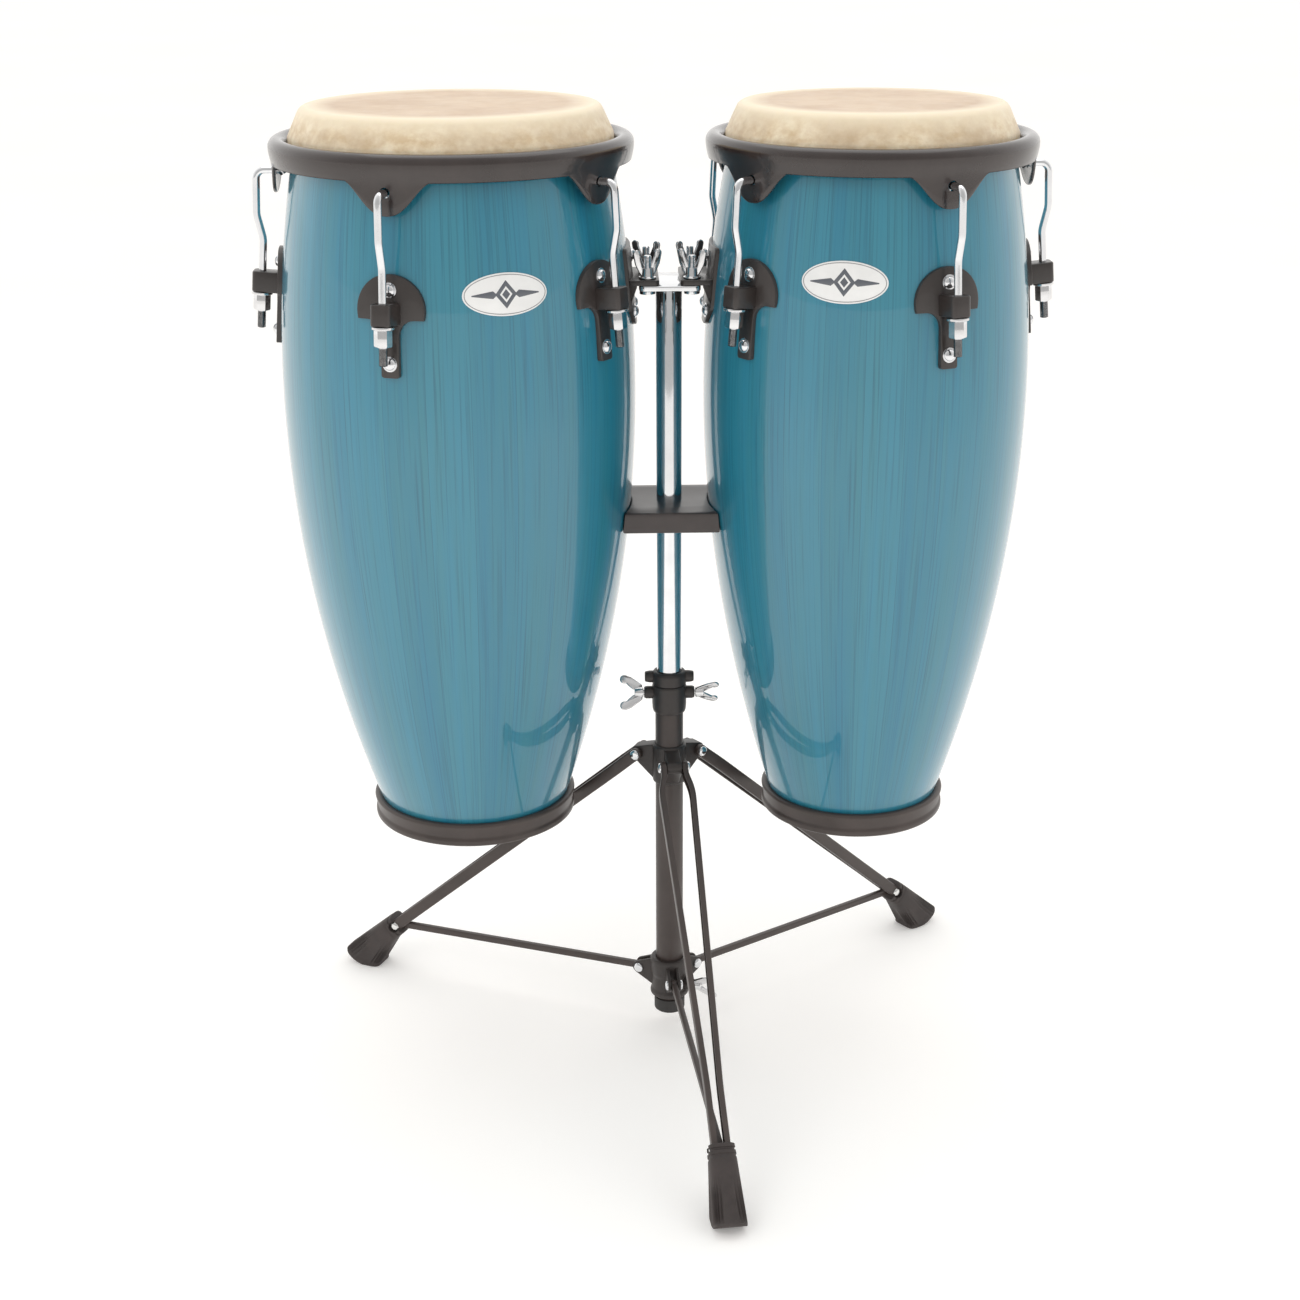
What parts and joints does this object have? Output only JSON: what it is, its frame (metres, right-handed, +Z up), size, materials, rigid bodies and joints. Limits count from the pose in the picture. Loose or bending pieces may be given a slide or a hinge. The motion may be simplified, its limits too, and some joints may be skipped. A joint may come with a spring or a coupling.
{
  "type": "pair of conga drums on stand",
  "caption": "Pair of tall stave conga drums of unequal width with rawhide heads, hung side by side from one folding tripod stand with a chrome mast.",
  "frame": {"origin": "on the floor, under the middle of the whole object's box", "axes": "+X from the left drum to the right drum, +Y away from the player, +Z up"},
  "size_m": [0.7691, 0.6416, 0.973],
  "materials": {
    "teal_stave_wood": "stained staves under high-gloss clear lacquer",
    "ring_black": "satin black coat",
    "rawhide": "natural rawhide, smooth and slightly mottled",
    "zinc_steel": "zinc plated",
    "rim_black": "satin charcoal powder coat",
    "chrome_hook": "polished chrome wire",
    "hardware_black": "semi-gloss black coat",
    "chrome_bolt": "polished chrome dome",
    "badge_white": "white printed foil under gloss",
    "chrome_nut": "polished chrome",
    "stand_black": "satin black powder coat",
    "cast_black": "satin black coat on castings",
    "cap_plastic": "matt black",
    "bushing_nylon": "matt black nylon",
    "chrome_tube": "polished chrome tube",
    "bumper_plastic": "glossy black block",
    "foot_rubber": "matt black moulded rubber"
  },
  "bodies": {
    "stand": {"base_tube": "stand_black", "tube_end_cap": "cap_plastic", "leg_collar": "cast_black", "leg_pivot_bolts": "chrome_bolt", "mast_clamp": "cast_black", "mast_bushing": "bushing_nylon"},
    "runner": {"runner": "cast_black", "brace_pivot_bolts": "chrome_bolt"},
    "runner_wing_screw": {"runner_wing_screw": "chrome_nut"},
    "leg_front": {"leg_front": "stand_black", "foot_front": "foot_rubber"},
    "brace_front": {"brace_front": "stand_black"},
    "leg_right": {"leg_right": "stand_black", "foot_right": "foot_rubber"},
    "brace_right": {"brace_right": "stand_black"},
    "leg_left": {"leg_left": "stand_black", "foot_left": "foot_rubber"},
    "brace_left": {"brace_left": "stand_black"},
    "mast": {"mast": "chrome_tube", "memory_lock": "cast_black", "top_plate": "chrome_tube", "bumper_block": "bumper_plastic"},
    "left_drum": {"left_shell": "teal_stave_wood", "left_bottom_ring": "ring_black", "left_head": "rawhide", "left_flesh_hoop": "zinc_steel", "left_rim": "rim_black", "left_tuning_hooks": "chrome_hook", "left_side_plates": "hardware_black", "left_bolts": "chrome_bolt", "left_backing_nuts": "zinc_steel", "left_badge": "badge_white", "left_bracket": "hardware_black"},
    "right_drum": {"right_shell": "teal_stave_wood", "right_bottom_ring": "ring_black", "right_head": "rawhide", "right_flesh_hoop": "zinc_steel", "right_rim": "rim_black", "right_tuning_hooks": "chrome_hook", "right_side_plates": "hardware_black", "right_bolts": "chrome_bolt", "right_backing_nuts": "zinc_steel", "right_badge": "badge_white", "right_bracket": "hardware_black"},
    "clamp_screw_left": {"clamp_screw_left": "chrome_nut"},
    "clamp_screw_right": {"clamp_screw_right": "chrome_nut"},
    "left_tuning_nut_1": {"left_tuning_nut_1": "chrome_nut"},
    "left_tuning_nut_2": {"left_tuning_nut_2": "chrome_nut"},
    "left_tuning_nut_3": {"left_tuning_nut_3": "chrome_nut"},
    "left_tuning_nut_4": {"left_tuning_nut_4": "chrome_nut"},
    "left_tuning_nut_5": {"left_tuning_nut_5": "chrome_nut"},
    "wing_nut_left_front": {"wing_nut_left_front": "chrome_nut"},
    "wing_nut_left_back": {"wing_nut_left_back": "chrome_nut"},
    "right_tuning_nut_1": {"right_tuning_nut_1": "chrome_nut"},
    "right_tuning_nut_2": {"right_tuning_nut_2": "chrome_nut"},
    "right_tuning_nut_3": {"right_tuning_nut_3": "chrome_nut"},
    "right_tuning_nut_4": {"right_tuning_nut_4": "chrome_nut"},
    "right_tuning_nut_5": {"right_tuning_nut_5": "chrome_nut"},
    "wing_nut_right_front": {"wing_nut_right_front": "chrome_nut"},
    "wing_nut_right_back": {"wing_nut_right_back": "chrome_nut"}
  },
  "joints": [
    {"name": "leg_front_fold", "type": "hinge", "parent": "stand", "child": "leg_front", "pos_m": [0.01624, 0.04071, 0.314], "axis": [0.9936, 0.1132, 0], "range_deg": [0, 43.9]},
    {"name": "leg_right_fold", "type": "hinge", "parent": "stand", "child": "leg_right", "pos_m": [0.03903, 0.09313, 0.314], "axis": [-0.5948, 0.8039, 0], "range_deg": [0, 43.9]},
    {"name": "leg_left_fold", "type": "hinge", "parent": "stand", "child": "leg_left", "pos_m": [-0.01776, 0.08666, 0.314], "axis": [-0.3987, -0.9171, 0], "range_deg": [0, 43.9]},
    {"name": "runner_slide", "type": "slide", "parent": "stand", "child": "runner", "axis": [0, 0, 1], "range_m": [0, 0.155]},
    {"name": "brace_front_fold", "type": "hinge", "parent": "runner", "child": "brace_front", "pos_m": [0.01624, 0.04071, 0.0615], "axis": [0.9936, 0.1132, 0], "range_deg": [0, 82.02]},
    {"name": "brace_right_fold", "type": "hinge", "parent": "runner", "child": "brace_right", "pos_m": [0.03903, 0.09313, 0.0615], "axis": [-0.5948, 0.8039, 0], "range_deg": [0, 82.02]},
    {"name": "brace_left_fold", "type": "hinge", "parent": "runner", "child": "brace_left", "pos_m": [-0.01776, 0.08666, 0.0615], "axis": [-0.3987, -0.9171, 0], "range_deg": [0, 82.02]},
    {"name": "runner_screw_turn", "type": "hinge", "parent": "runner", "child": "runner_wing_screw", "pos_m": [0.02561, 0.0678, 0.05], "axis": [0.9171, -0.3987, 0], "range_deg": [-360, 720]},
    {"name": "mast_height", "type": "slide", "parent": "stand", "child": "mast", "axis": [0, 0, 1], "range_m": [0, 0.18]},
    {"name": "clamp_screw_left_turn", "type": "hinge", "parent": "stand", "child": "clamp_screw_left", "pos_m": [-0.0018, 0.0735, 0.384], "axis": [-1, 0, 0], "range_deg": [-360, 720]},
    {"name": "clamp_screw_right_turn", "type": "hinge", "parent": "stand", "child": "clamp_screw_right", "pos_m": [0.0268, 0.0735, 0.384], "axis": [1, 0, 0], "range_deg": [-360, 720]},
    {"name": "left_drum_lift", "type": "slide", "parent": "mast", "child": "left_drum", "axis": [0, 0, 1], "range_m": [0, 0.06]},
    {"name": "left_tuning_nut_1_turn", "type": "hinge", "parent": "left_drum", "child": "left_tuning_nut_1", "pos_m": [-0.04257, 0.18422, 0.81066], "axis": [-0.07, -0.0527, 0.9962], "range_deg": [-360, 1080]},
    {"name": "left_tuning_nut_2_turn", "type": "hinge", "parent": "left_drum", "child": "left_tuning_nut_2", "pos_m": [-0.2494, 0.24746, 0.81066], "axis": [0.0285, -0.0829, 0.9962], "range_deg": [-360, 1080]},
    {"name": "left_tuning_nut_3_turn", "type": "hinge", "parent": "left_drum", "child": "left_tuning_nut_3", "pos_m": [-0.37345, 0.07029, 0.81066], "axis": [0.0876, 0.0015, 0.9962], "range_deg": [-360, 1080]},
    {"name": "left_tuning_nut_4_turn", "type": "hinge", "parent": "left_drum", "child": "left_tuning_nut_4", "pos_m": [-0.24329, -0.10244, 0.81066], "axis": [0.0256, 0.0838, 0.9962], "range_deg": [-360, 1080]},
    {"name": "left_tuning_nut_5_turn", "type": "hinge", "parent": "left_drum", "child": "left_tuning_nut_5", "pos_m": [-0.03879, -0.03203, 0.81066], "axis": [-0.0718, 0.0503, 0.9962], "range_deg": [-360, 1080]},
    {"name": "wing_nut_left_front_turn", "type": "hinge", "parent": "left_drum", "child": "wing_nut_left_front", "pos_m": [-0.0085, 0.0475, 0.814], "axis": [0, 0, 1], "range_deg": [-360, 1080]},
    {"name": "wing_nut_left_back_turn", "type": "hinge", "parent": "left_drum", "child": "wing_nut_left_back", "pos_m": [-0.0085, 0.0995, 0.814], "axis": [0, 0, 1], "range_deg": [-360, 1080]},
    {"name": "right_drum_lift", "type": "slide", "parent": "mast", "child": "right_drum", "axis": [0, 0, 1], "range_m": [0, 0.06]},
    {"name": "right_tuning_nut_1_turn", "type": "hinge", "parent": "right_drum", "child": "right_tuning_nut_1", "pos_m": [0.37294, 0.08243, 0.81072], "axis": [-0.0902, -0.0047, 0.9959], "range_deg": [-360, 1080]},
    {"name": "right_tuning_nut_2_turn", "type": "hinge", "parent": "right_drum", "child": "right_tuning_nut_2", "pos_m": [0.24667, 0.23836, 0.81072], "axis": [-0.0234, -0.0872, 0.9959], "range_deg": [-360, 1080]},
    {"name": "right_tuning_nut_3_turn", "type": "hinge", "parent": "right_drum", "child": "right_tuning_nut_3", "pos_m": [0.05936, 0.16646, 0.81072], "axis": [0.0757, -0.0492, 0.9959], "range_deg": [-360, 1080]},
    {"name": "right_tuning_nut_4_turn", "type": "hinge", "parent": "right_drum", "child": "right_tuning_nut_4", "pos_m": [0.06986, -0.03391, 0.81072], "axis": [0.0702, 0.0568, 0.9959], "range_deg": [-360, 1080]},
    {"name": "right_tuning_nut_5_turn", "type": "hinge", "parent": "right_drum", "child": "right_tuning_nut_5", "pos_m": [0.26366, -0.08584, 0.81072], "axis": [-0.0324, 0.0843, 0.9959], "range_deg": [-360, 1080]},
    {"name": "wing_nut_right_front_turn", "type": "hinge", "parent": "right_drum", "child": "wing_nut_right_front", "pos_m": [0.0335, 0.0475, 0.814], "axis": [0, 0, 1], "range_deg": [-360, 1080]},
    {"name": "wing_nut_right_back_turn", "type": "hinge", "parent": "right_drum", "child": "wing_nut_right_back", "pos_m": [0.0335, 0.0995, 0.814], "axis": [0, 0, 1], "range_deg": [-360, 1080]}
  ],
  "couplings": [
    {"joint": "leg_right_fold", "follows": "leg_front_fold", "ratio": 1},
    {"joint": "leg_left_fold", "follows": "leg_front_fold", "ratio": 1},
    {"joint": "runner_slide", "follows": "leg_front_fold", "m_per_rad": 0.2018},
    {"joint": "brace_front_fold", "follows": "leg_front_fold", "ratio": 1.866},
    {"joint": "brace_right_fold", "follows": "leg_front_fold", "ratio": 1.866},
    {"joint": "brace_left_fold", "follows": "leg_front_fold", "ratio": 1.866}
  ]
}
